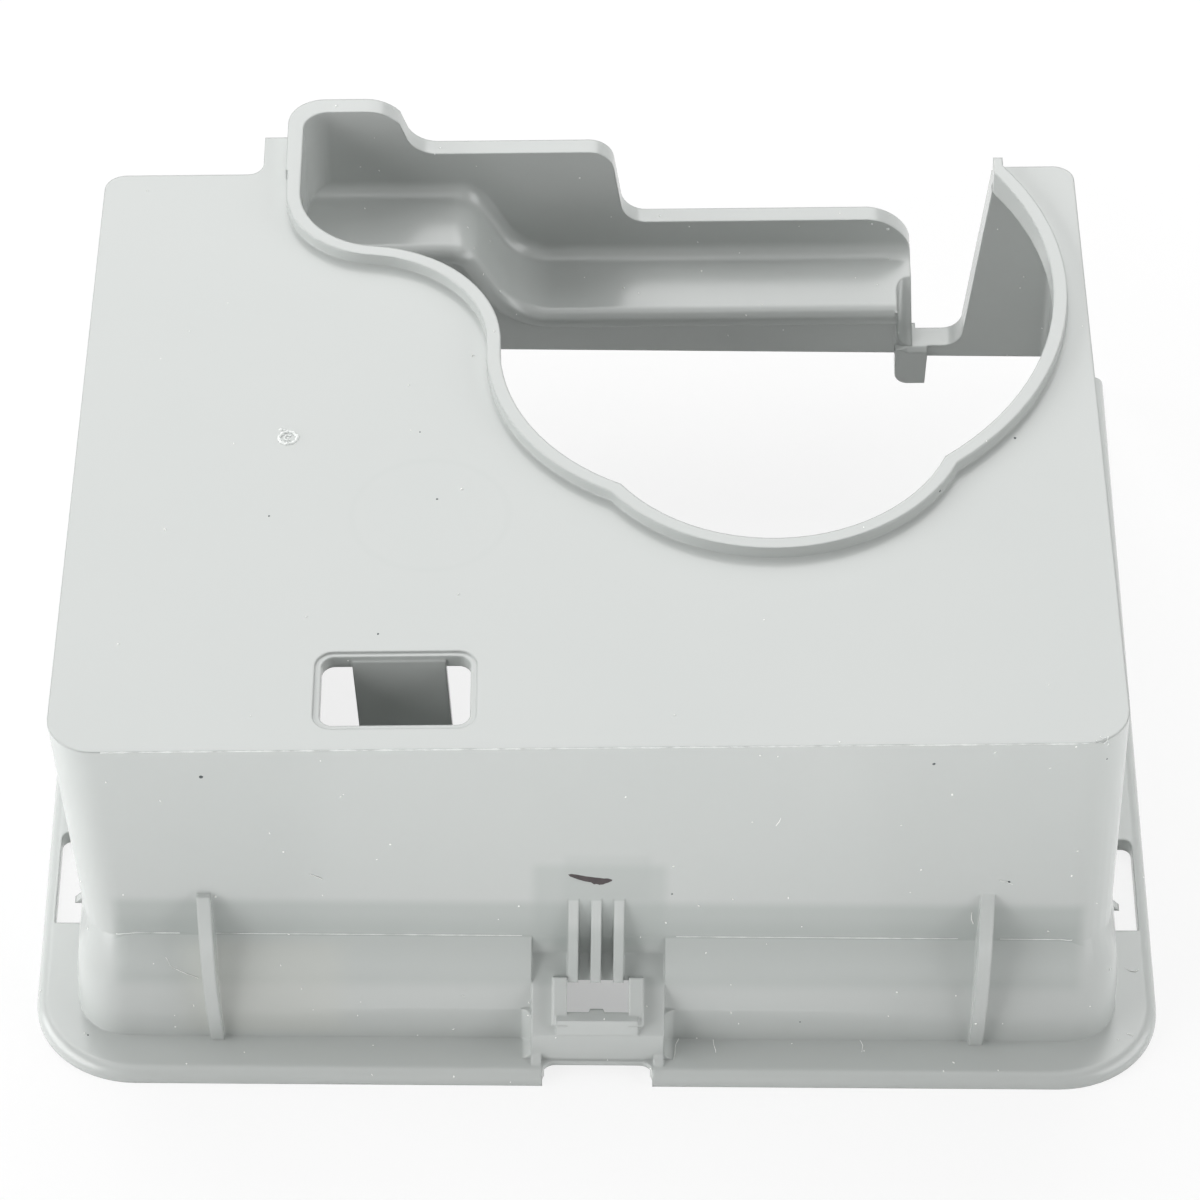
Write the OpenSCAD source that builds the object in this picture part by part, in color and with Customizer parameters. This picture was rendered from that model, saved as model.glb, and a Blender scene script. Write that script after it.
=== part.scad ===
// Filter guide: a one-piece moulded recess for a drain filter.
// It lies with its open side down. The mounting flange is on the ground, the closed
// plate with the S-shaped opening is on top, and the pocket for the hose is at the back.
// X runs along the front, Y from front to back, Z up. Z = 0 is the flange's underside.
// Sizes in Y are given from the plate's middle. The finished part is then moved, so that
// the frame's origin lies in the middle of the whole part.

/* [Plate] */
// Width of the plate along its front edge
plate_w = 160; // [154:1:170]
// Distance by which each side edge of the plate runs in towards the back
plate_taper = 1.7; // [0:0.1:4]
// Y of the plate's front edge
plate_front = -64.6; // [-66:0.1:-64]
// Y of the plate's back edge
plate_back = 64.4; // [63:0.1:67]
// Height of the plate's top face
plate_h = 62; // [58:0.5:68]
// Sideways slope of the plate in degrees, up to the right
plate_tilt = 1.4; // [0:0.1:2]
// Thickness of the plate and walls
wall = 2.4; // [1.8:0.1:2.8]
// Radius of the plate's front corners
front_r = 7; // [4:0.5:9]
// Radius of the plate's back corners
back_r = 3.4; // [3:0.1:5]

/* [Flange] */
// Width of the flange
flange_w = 172.8; // [171:0.2:190]
// Y of the flange's front edge
flange_front = -76.8; // [-84:0.1:-76.4]
// Thickness of the flange
flange_t = 2.4; // [2:0.1:3]
// Radius of the flange's front corners
flange_r = 16; // [10:0.5:18]
// Radius of the roll along the flange's upper outer edge
flange_roll = 1.9; // [1:0.1:2]
// Length of the two slots in the sides of the flange
slot_l = 19.3; // [12:0.1:26]
// Width of the flange that is left outside the slots
slot_band = 1.9; // [1.5:0.1:3]
// Y of the middle of the slots
slot_y = -36.6; // [-44:0.1:-20]

/* [Skirt and shoulder] */
// Width of the skirt where it meets the flange
skirt_w = 159.6; // [156:0.2:161]
// Y of the skirt's front face
skirt_front = -69.2; // [-70.5:0.1:-68.5]
// Height up to which the skirt's front face is upright
skirt_h = 8.9; // [8:0.1:11]
// Height at which the shoulder runs out in the wall
shoulder_h = 21.2; // [20:0.1:22]
// Height of the lower edge of the back wall
back_gap = 24.2; // [23.5:0.1:24.8]

/* [Opening and rim] */
// Centre of the bend beside the hose pocket
bend_c = [-33, 57.9];
// Radius of the bend beside the hose pocket
bend_r = 13.5; // [12.5:0.1:14]
// Centre of the left side of the filter opening
left_c = [20.9, 20.1];
// Radius of the left side of the filter opening
left_r = 34.7; // [33.5:0.1:35.5]
// Radius of the outward bend that joins those two
link_r = 22.8; // [20:0.1:26]
// Centre of the bulge at the front of the opening
bulge_c = [28.4, 5.7];
// Radius of the bulge
bulge_r = 28.6; // [27.8:0.1:30]
// Centre of the long arc on the right
right_c = [23.6, 33.5];
// Radius of the long arc on the right
right_r = 49.8; // [49:0.1:50.4]
// X of the straight end of the opening at the plate's back edge
tip_x = 65.3; // [64:0.1:66]
// Thickness of the rim around the opening
rim_w = 2.2; // [1.6:0.1:2.6]
// Height of the rim above the plate
rim_h = 2; // [1:0.1:4]

/* [Hose pocket] */
// Y of the inside of the pocket's back wall
pocket_in = 77.3; // [75:0.1:79]
// Thickness of the pocket's back wall
pocket_wall = 3.3; // [2.4:0.1:4]
// X of the pocket's right end
pocket_end = 53; // [51:0.5:54]
// Inside radius of the pocket's upright corner
pocket_r = 4; // [3:0.1:5]
// Height of the pocket's floor at the left
floor_left = 46.9; // [44:0.1:48.5]
// Height of the pocket's floor at the right
floor_right = 32.6; // [31:0.1:34]
// X at which the floor begins to fall
floor_x = -22.9; // [-28:0.1:-22]
// Steepness of the falling part in degrees
floor_fall = 62; // [50:1:64]
// Radius of the bend at the top of the fall
floor_r1 = 5; // [4:0.5:7]
// Radius of the bend at the foot of the fall
floor_r2 = 10; // [6:0.5:14]
// Radius of the floor's rounded front edge
edge_r = 2.4; // [1.6:0.1:3]
// Radius of the crease between the floor and the back wall
crease_r = 2.8; // [1.5:0.1:3.2]
// Height of the back wall's middle step
step_mid = 54.8; // [52:0.1:57]
// Height of the back wall's right step
step_low = 39.5; // [38:0.1:42]
// Radius of the bends in the back wall's top edge
step_r = 4.2; // [3:0.1:5]

/* [Notch and tab] */
// Height of the bottom of the notch
notch_z = 25.1; // [24.8:0.1:27]
// X of the notch's right side at its bottom
notch_x = 61.4; // [60:0.1:63]
// Radius of the notch's lower right corner
notch_r = 3.4; // [2:0.1:4]
// Thickness of the back wall at the notch
notch_lip = 4.4; // [3:0.1:5]
// Width of the tab under the notch
tab_w = 5.4; // [4.8:0.1:7]
// Height of the tab's lower end
tab_z = 17.6; // [14:0.1:19]

/* [Window and latch tongue] */
// X of the middle of the window in the plate
window_x = -28.6; // [-36:0.1:-24]
// Y of the window's back edge
window_back = -45.1; // [-48:0.1:-42]
// Width of the window
window_w = 22.3; // [18:0.1:28]
// Depth of the window
window_d = 14.2; // [10:0.1:14.4]
// Radius of the window's corners
window_r = 2; // [1:0.1:4]
// Width of the latch tongue that hangs in the window
tongue_w = 14; // [10:0.1:15]
// Length of the latch tongue below the plate
tongue_l = 16; // [10:0.5:28]
// Thickness of the latch tongue
tongue_t = 1.8; // [1.2:0.1:2.4]

/* [Ribs and socket] */
// Distance of the two large ribs from the middle
fin_x = 59.1; // [40:0.5:66]
// Thickness of the two large ribs
fin_t = 2.1; // [1.2:0.1:2.6]
// Distance between the three small ribs
rib_gap = 3.45; // [2.8:0.05:3.8]
// Thickness of the three small ribs
rib_t = 1.6; // [1:0.05:1.8]
// Height at which the small ribs end on the wall
rib_top = 29.4; // [26:0.2:34]
// Width of the boss in the middle of the front
boss_w = 20.2; // [19:0.1:24]
// Y of the boss's front face
boss_front = -73.5; // [-74:0.1:-73]
// Height of the boss's front face
boss_z = 7.9; // [7.4:0.1:8.4]
// Slope of the boss's top in degrees
boss_slope = 45.6; // [44:0.1:47]
// Width of the notch in the flange under the boss
arch_w = 16.8; // [12:0.1:17]
// Outside width of the socket on the boss
socket_w = 13.7; // [13:0.1:15]
// Width of the socket's hole
socket_hole = 9.4; // [8:0.1:10]
// Length of the socket along the slope
socket_l = 9; // [8:0.1:9.6]
// Height of the socket's sides above the slope
socket_h = 1.6; // [1:0.1:2.2]

/* [Hidden] */
eps = 0.05;
big = 400;
fine = 96;
corner_fn = 32;
plate_shift = -0.5;
half_w = plate_w / 2;
plate_low = plate_h - wall;
rim_top = plate_h + rim_h;
pocket_back = pocket_in + pocket_wall;
pocket_left = bend_c[0] - bend_r;
pocket_r2 = pocket_r + 1.8;
back_in = plate_back - wall;
skirt_top = skirt_w / 2 - 1.8;
left_lean = 2.9;
right_lean = 0.8;
lean_h = 46;
shoulder_mid = [skirt_front + 1.7, (skirt_h + shoulder_h) / 2];
strip_w = 3.8;
strip_back = 73.5;
band_in = 0.7;
edge_y = back_in - 0.1;
crease_y = pocket_in + 0.06;
shelf_t = wall + 0.2;
catch_y = -42.3;
middle_y = (flange_front + pocket_back) / 2;
arch_h = 1.4;
side_fillet = 2.8;
foot_fillet = 2.2;

// The floor's fall: where its bends start and end
fall_top = floor_x + floor_r1 * sin(floor_fall);
fall_drop = floor_left - floor_right - (floor_r1 + floor_r2) * (1 - cos(floor_fall));
fall_foot = fall_top + fall_drop / tan(floor_fall);
floor_low = fall_foot + floor_r2 * sin(floor_fall);

// Points of an arc about c with radius r, from angle a0 to a1 in n steps
function arc(c, r, a0, a1, n) =
    [for (i = [0 : n]) let (a = a0 + (a1 - a0) * i / n) [c[0] + r * cos(a), c[1] + r * sin(a)]];

// Centre of a circle of radius r that touches circle (p, rp) and circle (q, rq) from outside
function link_centre(p, rp, q, rq, r) =
    let (d = norm(q - p), u = (q - p) / d,
         a = ((rp + r) * (rp + r) - (rq + r) * (rq + r) + d * d) / (2 * d),
         h = sqrt((rp + r) * (rp + r) - a * a))
    p + a * u + h * [u[1], -u[0]];

// The floor's line in X and Z from left to right, at depth d below its surface
function floor_line(d) = concat(
    [[pocket_left - 10, floor_left - d]],
    arc([floor_x, floor_left - floor_r1], floor_r1 - d, 90, 90 - floor_fall, 6),
    arc([floor_low, floor_right + floor_r2], floor_r2 + d, 270 - floor_fall, 270, 8),
    [[pocket_end + 10, floor_right - d]]);

// Box from corner p to corner q
module block(p, q) {
    translate(p) cube(q - p);
}

// Outline in X and Z, drawn out from y0 to y1
module along_y(y0, y1) {
    translate([0, y1, 0]) rotate([90, 0, 0]) linear_extrude(y1 - y0) children();
}

// Outline in Y and Z, drawn out from x0 to x1
module along_x(x0, x1) {
    translate([x0, 0, 0]) rotate([90, 0, 90]) linear_extrude(x1 - x0) children();
}

// Rectangle with four rounded corners
module round_rect(x0, x1, y0, y1, r) {
    translate([x0 + r, y0]) square([x1 - x0 - 2 * r, y1 - y0]);
    translate([x0, y0 + r]) square([x1 - x0, y1 - y0 - 2 * r]);
    for (x = [x0 + r, x1 - r]) for (y = [y0 + r, y1 - r])
        translate([x, y]) circle(r = r, $fn = fine);
}

// Places its children on the sloping plate
module tilted() {
    translate([plate_shift, 0, 0]) rotate([0, -plate_tilt, 0]) children();
}

// Four short posts at the corners of a layer, for a hull: x0 and x1 at its front corners
module posts(z, h, x0, x1, taper, y0, y1, rf, rb) {
    for (x = [x0 + rf, x1 - rf])
        translate([x, y0 + rf, z]) cylinder(r = rf, h = h, $fn = corner_fn);
    for (x = [x0 + taper + rb, x1 - taper - rb])
        translate([x, y1 - rb, z]) cylinder(r = rb, h = h, $fn = corner_fn);
}

// Upper housing down to inside the skirt, smaller all round by t
module upper_form(t) {
    h = 0.2;
    y0 = plate_front + t;
    y1 = plate_back - t;
    tilted() hull() {
        posts(plate_h - t - h, h, t - half_w, half_w - t, plate_taper, y0, y1,
              front_r - t, back_r - t);
        posts(plate_h - lean_h - t / 2, h, t - half_w + left_lean, half_w - right_lean - t,
              plate_taper, y0, y1, front_r - t, back_r - t);
    }
}

// Skirt below the shoulder, smaller all round by t, open at the back
module skirt_form(t) {
    y1 = pocket_back + (t > 0 ? 6 : 0);
    z0 = t > 0 ? -1 : 0;
    rf = front_r + 1 - t;
    x = skirt_w / 2 - t;
    hull() {
        posts(z0, skirt_h - z0, -x, x, 0, skirt_front + t, y1, rf, 0.9);
        posts(shoulder_mid[1] - 0.1, 0.1, 0.5 - x, x - 0.5, 0, shoulder_mid[0] + t, y1, rf, 0.9);
        posts(shoulder_h + 0.8, 0.1, t - skirt_top, skirt_top - t, 0,
              plate_front + 0.7 + t, y1, rf, 0.9);
    }
}

// Boss in the middle of the front, with the slope that carries the socket
module boss_form(t) {
    z0 = boss_z + t * (tan(boss_slope) - 1 / cos(boss_slope));
    run = plate_front - boss_front;
    low = t > 0 ? -1 : 0;
    y1 = plate_front + wall + t;
    along_x(-boss_w / 2 + t, boss_w / 2 - t)
        polygon([[boss_front + t, low], [boss_front + t, z0],
                 [plate_front + 0.4 + t, z0 + (run + 0.4) * tan(boss_slope)],
                 [plate_front + 0.4 + t, shoulder_h + 2], [y1, shoulder_h + 2], [y1, low]]);
}

// Boss without its hollow, filleted to the skirt and to the flange
module boss() {
    x = boss_w / 2;
    boss_form(0);
    for (s = [-1, 1]) scale([s, 1, 1]) {
        translate([0, 0, flange_t - 1]) linear_extrude(skirt_h - flange_t + 1.3)
            translate([x - 0.2, skirt_front + 0.2]) mirror([0, 1]) fillet(side_fillet);
        along_y(boss_front + 0.05, skirt_front + 1)
            translate([x - 0.1, flange_t - 0.1]) fillet(foot_fillet);
        along_x(arch_w / 2 + 0.15, x) translate([boss_front + 0.1, flange_t - 0.1])
            mirror([1, 0]) fillet(foot_fillet);
        translate([x - 0.1, boss_front + 0.1, flange_t - 0.1]) rotate([0, 0, 270])
            rotate_extrude(angle = 90, $fn = fine) fillet(foot_fillet);
    }
}

// Section of a fillet of radius r in the corner at the origin
module fillet(r) {
    difference() {
        square(r);
        translate([r + 0.001, r + 0.001]) circle(r = r, $fn = fine);
    }
}

// Flange along the left, the front and the right, with a roll along its upper edge
module flange() {
    x = flange_w / 2;
    k = flange_t - flange_roll;
    y1 = pocket_back;
    intersection() {
        union() {
            linear_extrude(k) flange_outline(0);
            linear_extrude(flange_t) flange_outline(flange_roll);
            for (s = [-1, 1]) {
                translate([s * (x - flange_roll), y1, k]) rotate([90, 0, 0])
                    cylinder(r = flange_roll, h = y1 - flange_front - flange_r, $fn = fine);
                translate([s * (x - flange_r), flange_front + flange_r, k])
                    rotate([0, 0, s > 0 ? 270 : 180])
                    rotate_extrude(angle = 90, $fn = fine)
                        translate([flange_r - flange_roll, 0]) circle(r = flange_roll, $fn = fine);
            }
            translate([flange_r - x, flange_front + flange_roll, k]) rotate([0, 90, 0])
                cylinder(r = flange_roll, h = 2 * (x - flange_r), $fn = fine);
        }
        translate([-big / 2, -big / 2, 0]) cube([big, big, flange_t]);
    }
}

// Outline of the flange, with its front corners rounded, smaller at the edges by t
module flange_outline(t) {
    x = flange_w / 2 - t;
    r = flange_r - t;
    y0 = flange_front + t;
    translate([r - x, y0]) square([2 * (x - r), pocket_back - y0]);
    translate([-x, y0 + r]) square([2 * x, pocket_back - y0 - r]);
    for (s = [-1, 1]) translate([s * (x - r), y0 + r]) circle(r = r, $fn = fine);
}

// Openings in the flange: the two slots and the notch under the boss
module flange_cuts() {
    y0 = slot_y - slot_l / 2;
    y1 = slot_y + slot_l / 2;
    x0 = skirt_w / 2;
    x1 = flange_w / 2 - slot_band;
    r = 1.5;
    for (s = [-1, 1]) scale([s, 1, 1]) {
        block([x0, y0, -1], [x1, y1 - r, flange_t + 1]);
        block([x0, y0, -1], [x1 - r, y1, flange_t + 1]);
        translate([x1 - r, y1 - r, -1]) cylinder(r = r, h = flange_t + 2, $fn = fine);
    }
    translate([0, 0, -1]) linear_extrude(flange_t + 1 + eps)
        round_rect(-arch_w / 2, arch_w / 2, flange_front - 9, boss_front - 0.3, 2);
    block([0.3 - arch_w / 2, flange_front - 9, -1], [arch_w / 2 - 0.3, boss_front + wall + 1, arch_h]);
}

// The opening in the plate as seen from above, grown by g
module opening(g) {
    link_c = link_centre(bend_c, bend_r, left_c, left_r, link_r);
    x0 = pocket_left - g;
    y1 = plate_back + 6;
    difference() {
        polygon([bend_c, link_c, left_c, [left_c[0], y1], [x0, y1], [x0, bend_c[1]]]);
        translate(link_c) circle(r = link_r - g, $fn = fine);
    }
    translate(bend_c) circle(r = bend_r + g, $fn = fine);
    translate(left_c) circle(r = left_r + g, $fn = fine);
    translate(bulge_c) circle(r = bulge_r + g, $fn = fine);
    intersection() {
        translate(right_c) circle(r = right_r + g, $fn = fine);
        translate([left_c[0], right_c[1] - 60]) square([60, 120]);
    }
    translate([left_c[0], plate_back - 4]) square([tip_x + 0.7 * g - left_c[0], 10]);
}

// Rim that stands up from the plate along the opening
module rim() {
    translate([0, 0, plate_low]) linear_extrude(rim_top - plate_low) intersection() {
        difference() {
            opening(rim_w);
            opening(0);
        }
        translate([-90, -60]) square([180, 60 + plate_back]);
    }
}

// Everything under the top edge of the pocket's back wall, in X and Z
module edge_profile() {
    r = step_r;
    e = 5.5;
    top = rim_top;
    polygon(concat(
        [[pocket_left - 9, 0], [pocket_left - 9, top]],
        arc([-36.5, top - 7], 7, 90, 38, 6),
        arc([-24.9, step_mid + e], e, 208, 270, 6),
        arc([-0.2, step_mid - r], r, 90, 8, 8),
        arc([9.2, step_low + r], r, 190, 270, 8),
        [[pocket_end + 1.5, step_low], [pocket_end + 1.5, 0]]));
}

// Rounds the right end of the pocket's back wall
module corner_cut() {
    along_y(pocket_in - 8, pocket_back + 4) difference() {
        translate([pocket_end - 7.9, step_low - 8.1]) square([11, 11]);
        translate([pocket_end - 7.9, step_low - 8.1]) circle(r = 8.15, $fn = 2 * fine);
    }
}

// Outline of the pocket in X and Y, with a round at its upright corner
module pocket_outline(x, y, r) {
    translate([x, 40]) square([big / 4 - x, y - r - 40]);
    translate([x + r, 40]) square([big / 4 - x - r, y - 40]);
    translate([x + r, y - r]) circle(r = r, $fn = fine);
}

// Section of the pocket's floor: height above its surface, then Y. The front edge is
// rounded and the crease at the back wall is filled.
floor_section = concat(
    [[-shelf_t, edge_y]],
    arc([-edge_r, edge_y + edge_r], edge_r, 270, 360, 8),
    arc([crease_r, crease_y - crease_r], crease_r, 180, 90, 8),
    [[crease_r, pocket_in + 1.2], [-shelf_t, pocket_in + 1.2]]);

// Stations along the floor: X, Z and the slope there
floor_way = concat(
    [[pocket_left - 0.4, floor_left, 0]],
    [for (i = [0 : 6]) let (a = floor_fall * i / 6)
        [floor_x + floor_r1 * sin(a), floor_left - floor_r1 * (1 - cos(a)), a]],
    [for (i = [8 : -1 : 0]) let (a = floor_fall * i / 8)
        [floor_low - floor_r2 * sin(a), floor_right + floor_r2 * (1 - cos(a)), a]],
    [[pocket_end + 1, floor_right, 0]]);

// Pocket floor: the section, carried along the stations
module pocket_floor() {
    n = len(floor_section);
    m = len(floor_way);
    points = [for (q = floor_way) for (p = floor_section)
        [q[0] + p[0] * sin(q[2]), p[1], q[1] + p[0] * cos(q[2])]];
    sides = [for (i = [0 : m - 2]) for (j = [0 : n - 1]) let (k = (j + 1) % n)
        each [[i * n + j, i * n + k, (i + 1) * n + k],
              [i * n + j, (i + 1) * n + k, (i + 1) * n + j]]];
    ends = [[for (j = [n - 1 : -1 : 0]) j], [for (j = [0 : n - 1]) (m - 1) * n + j]];
    polyhedron(points, concat(sides, ends));
}

// Back wall and left wall of the pocket, a little lower than the floor's underside
module pocket_walls() {
    intersection() {
        along_y(back_in + 1, pocket_back) polygon(concat(
            floor_line(shelf_t + 0.5), [[pocket_end + 10, 80], [pocket_left - 10, 80]]));
        along_y(back_in, pocket_back + 1) edge_profile();
        linear_extrude(90) difference() {
            pocket_outline(pocket_left - rim_w - 0.3, pocket_back, pocket_r2);
            pocket_outline(pocket_left, pocket_in, pocket_r);
        }
    }
}

// Strip of the plate that runs back beside the pocket, with a fillet at its root
module plate_strip() {
    x1 = pocket_left - 1;
    x0 = pocket_left - rim_w - 0.3 - strip_w;
    r = 2.5;
    translate([0, 0, plate_low]) linear_extrude(wall) {
        translate([x0, plate_back - 1]) square([x1 - x0, strip_back - plate_back + 1]);
        difference() {
            translate([x0 - r, plate_back - eps]) square([r + eps, r]);
            translate([x0 - r, plate_back + r]) circle(r = r, $fn = fine);
        }
    }
}

// The notch in the back wall as seen from the front, grown by g at the right and below
module notch_outline(g) {
    z0 = notch_z - g;
    top = g > 0 ? plate_low : plate_h + 9;
    r = notch_r + g;
    x = notch_x + g;
    x0 = pocket_end + g / 4;
    translate([x0, z0]) square([x - r - x0, r]);
    translate([x - r, z0 + r]) circle(r = r, $fn = fine);
    polygon([[x0, z0 + r], [x, z0 + r], [tip_x + g, plate_low], [tip_x + g, top], [x0, top]]);
}

// Thicker edge of the back wall along the notch, solid up to the pocket floor at its left
module notch_edge() {
    along_y(plate_back - 1, back_in + notch_lip) notch_outline(wall);
    along_x(pocket_end - 2.9, pocket_end + 0.7) polygon([
        [back_in + 0.2, notch_z - 1.8], [back_in + notch_lip - 0.2, notch_z - 1.8],
        [back_in + 10, floor_right - 2], [back_in + 10, floor_right - 0.4],
        [back_in + 0.2, floor_right - 0.4]]);
}

// Rounded chute that runs down from the pocket floor into the notch
module chute() {
    fall = atan((floor_right - notch_z) / 9);
    r = 2.1;
    x = pocket_end - 2.5;
    translate([0, back_in, notch_z]) rotate([90 + fall, 0, 0])
        translate([0, 0, -14]) linear_extrude(16) {
            translate([x + r, 0.1]) square([3, 7]);
            translate([x, r + 0.1]) square([4, 7]);
            translate([x + r, r + 0.1]) circle(r = r, $fn = fine);
        }
}

// Tab that hangs under the notch
module tab() {
    x0 = pocket_end - 2.8;
    r = 2.2;
    along_y(back_in - 1, plate_back) {
        translate([x0 + r, tab_z]) square([tab_w - r - 0.6, r]);
        translate([x0, tab_z + r]) square([tab_w - 0.6, notch_z - tab_z - r]);
        translate([x0 + r, tab_z + r]) circle(r = r, $fn = fine);
        polygon([[x0 + tab_w - 0.7, tab_z], [x0 + tab_w - 0.4, tab_z],
                 [x0 + tab_w, notch_z], [x0 + tab_w - 0.7, notch_z]]);
    }
}

// Latch tongue under the back edge of the window
module tongue() {
    top = plate_h - 1;
    z0 = plate_low - tongue_l;
    y1 = window_back - 0.4 + tongue_t;
    along_y(window_back - 0.4, y1) polygon([
        [window_x - 6.7, top], [window_x - 6.7 + tongue_w, top],
        [window_x - 6 + tongue_w, z0], [window_x - 6, z0]]);
    block([window_x - 6.7, y1 - 1, plate_low], [window_x - 6.7 + tongue_w, y1 + 1, top]);
}

// The window with its shallow frame
module window() {
    x0 = window_x - window_w / 2;
    x1 = window_x + window_w / 2;
    y0 = window_back - window_d;
    translate([0, 0, plate_low - 1]) linear_extrude(wall + 2)
        round_rect(x0, x1, y0, window_back, window_r);
    translate([0, 0, plate_h - 0.3]) linear_extrude(1)
        round_rect(x0 - 1, x1 + 0.9, y0 - 0.9, window_back + 0.8, window_r + 0.8);
}

// Two large ribs that stand on the flange and run up over the shoulder. Their outer edge
// is an arc, and they lean a little towards the middle of the part.
module fins() {
    c = [-38.2, 11];
    for (f = [[-fin_x - 0.5, -3.2, 29.7], [fin_x - 0.5, 1.2, 32.6]])
        translate([f[0], 0, f[2]]) rotate([0, f[1], 0]) translate([0, 0, -f[2]])
            along_x(-fin_t / 2, fin_t / 2) intersection() {
                translate(c) circle(r = 33, $fn = 3 * fine);
                translate([-72.5, flange_t - eps]) square([72.5 + plate_front + 1, f[2] - flange_t]);
            }
}

// Three small ribs between the front wall and the socket
module small_ribs() {
    y = boss_front + (socket_l - 0.5) * cos(boss_slope);
    z = boss_z + (socket_l - 0.5) * sin(boss_slope);
    for (i = [-1 : 1]) along_x(i * rib_gap - rib_t / 2 - 0.4, i * rib_gap + rib_t / 2 - 0.4)
        polygon([[y, z - 0.6], [y - 1, z + socket_h - 1], [y - 0.6, z + socket_h - 0.4],
                 [plate_front, rib_top], [plate_front + 1, rib_top], [plate_front + 1, z]]);
}

// Socket on the boss's slope: two sides and an upright bar at the front
module socket() {
    w = socket_w / 2;
    h = socket_hole / 2;
    on_slope() for (s = [-1, 1])
        block([s > 0 ? h : -w, 1.5, -1], [s > 0 ? w : -h, socket_l, socket_h]);
    block([-w + 0.5, boss_front + 0.05, boss_z - 1], [w - 0.7, boss_front + 1.8, boss_z + 3.4]);
    translate([0, boss_front + 1.8, boss_z + 3.4]) rotate([180, 0, 0]) linear_extrude(1.5)
        polygon([[-1.6, 0.5], [1.2, 0.5], [0.7, -0.9], [-1.1, -0.9]]);
}

// Hole of the socket, down through the slope
module socket_cut() {
    on_slope() block([-socket_hole / 2, 2, -wall - 2], [socket_hole / 2, socket_l - 0.5, 0.6]);
}

// Places its children at the foot of the boss's slope
module on_slope() {
    translate([0, boss_front, boss_z]) rotate([boss_slope, 0, 0]) children();
}

// Two small catches on the side walls, inside the slots of the flange
module catches() {
    x = skirt_w / 2;
    reach = min(3.8, flange_w / 2 - slot_band - x - 0.5);
    for (s = [-1, 1]) scale([s, 1, 1]) along_y(catch_y - 0.7, catch_y + 0.7)
        polygon([[x - 1, 0.1], [x + 0.5, 0.1], [x + reach, 1.2], [x - 0.1, 5.4], [x - 1, 5.4]]);
}

// Hollow housing with its flange, without the parts that are added on it
module housing() {
    side = skirt_w / 2 - wall;
    difference() {
        union() {
            upper_form(0);
            skirt_form(0);
            flange();
        }
        upper_form(wall);
        skirt_form(wall);
        block([-side, back_in - 2, -1], [side, pocket_back + 9, back_gap]);
        along_x(-big / 2, big / 2)
            polygon([[plate_back, shoulder_h + 0.1], [pocket_back, 8], [pocket_back + 1, 8],
                     [pocket_back + 1, 30], [plate_back, 30]]);
        tilted() {
            translate([0, 0, plate_low - 1]) linear_extrude(wall + 2) opening(0);
            along_y(back_in - 1, plate_back + 1) wall_face_in();
            band_cut();
        }
        boss_space();
    }
}

// The back wall's opening above the pocket floor
module wall_face_in() {
    polygon(concat([for (p = floor_line(shelf_t - 0.6)) [max(min(p[0], pocket_end + 2), pocket_left), p[1]]],
                   [[pocket_end + 2, plate_h + 9], [pocket_left, plate_h + 9]]));
}

// Below the pocket floor the back wall is thinner on its inside
module band_cut() {
    block([pocket_left + 1, back_in - 1, 10], [pocket_end - 2.2, back_in + band_in, 70]);
}

// Room for the boss in front of the wall, above its slope
module boss_space() {
    y0 = boss_front - 5;
    y1 = plate_front - 0.05;
    z0 = boss_z - 5 * tan(boss_slope);
    along_x(-boss_w / 2, boss_w / 2)
        polygon([[y1, boss_z + (y1 - boss_front) * tan(boss_slope)],
                 [y1, shoulder_h + 4], [y0, shoulder_h + 4], [y0, z0]]);
}

// The whole moulding, moved so that the origin is in the middle of its depth
module filter_guide() {
    translate([0, -middle_y, 0]) moulding();
}

// The whole moulding
module moulding() {
    color([0.86, 0.87, 0.87]) difference() {
        union() {
            housing();
            boss();
            fins();
            small_ribs();
            socket();
            catches();
            tilted() {
                rim();
                pocket_floor();
                pocket_walls();
                plate_strip();
                notch_edge();
                tab();
            }
        }
        boss_form(wall);
        flange_cuts();
        socket_cut();
        tilted() {
            along_y(back_in - 2, pocket_back + 4) notch_outline(0);
            chute();
            corner_cut();
            difference() {
                window();
                tongue();
            }
        }
    }
    color([0.86, 0.87, 0.87]) tilted() tongue();
}

filter_guide();
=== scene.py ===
# %% [markdown]
# # A filter guide on a white table
# The part is one moulding of pale grey plastic. Its shape comes ready from the packed
# frame, so this notebook adds what a mould and a workshop leave on it: the gate mark, thin
# flash, dust, lint, a pen stroke. It also places the camera and lights the part.
# %% Load the frame
import math
import random

import bmesh
import bpy
from mathutils import Matrix, Vector, noise
from mathutils.bvhtree import BVHTree


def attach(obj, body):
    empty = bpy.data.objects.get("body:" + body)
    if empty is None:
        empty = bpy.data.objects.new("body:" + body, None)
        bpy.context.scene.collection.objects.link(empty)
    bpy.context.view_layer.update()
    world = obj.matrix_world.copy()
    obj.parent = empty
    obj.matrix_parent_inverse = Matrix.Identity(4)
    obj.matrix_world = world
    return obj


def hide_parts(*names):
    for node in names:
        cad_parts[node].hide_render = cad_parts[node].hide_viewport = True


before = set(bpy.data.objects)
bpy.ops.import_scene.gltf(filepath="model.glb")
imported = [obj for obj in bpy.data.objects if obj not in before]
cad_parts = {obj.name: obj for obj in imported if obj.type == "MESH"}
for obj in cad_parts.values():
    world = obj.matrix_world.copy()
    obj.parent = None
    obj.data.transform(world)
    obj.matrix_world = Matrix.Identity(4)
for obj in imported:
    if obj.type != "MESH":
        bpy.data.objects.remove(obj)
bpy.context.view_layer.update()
MM = 0.001
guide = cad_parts["filter_guide"]

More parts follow.
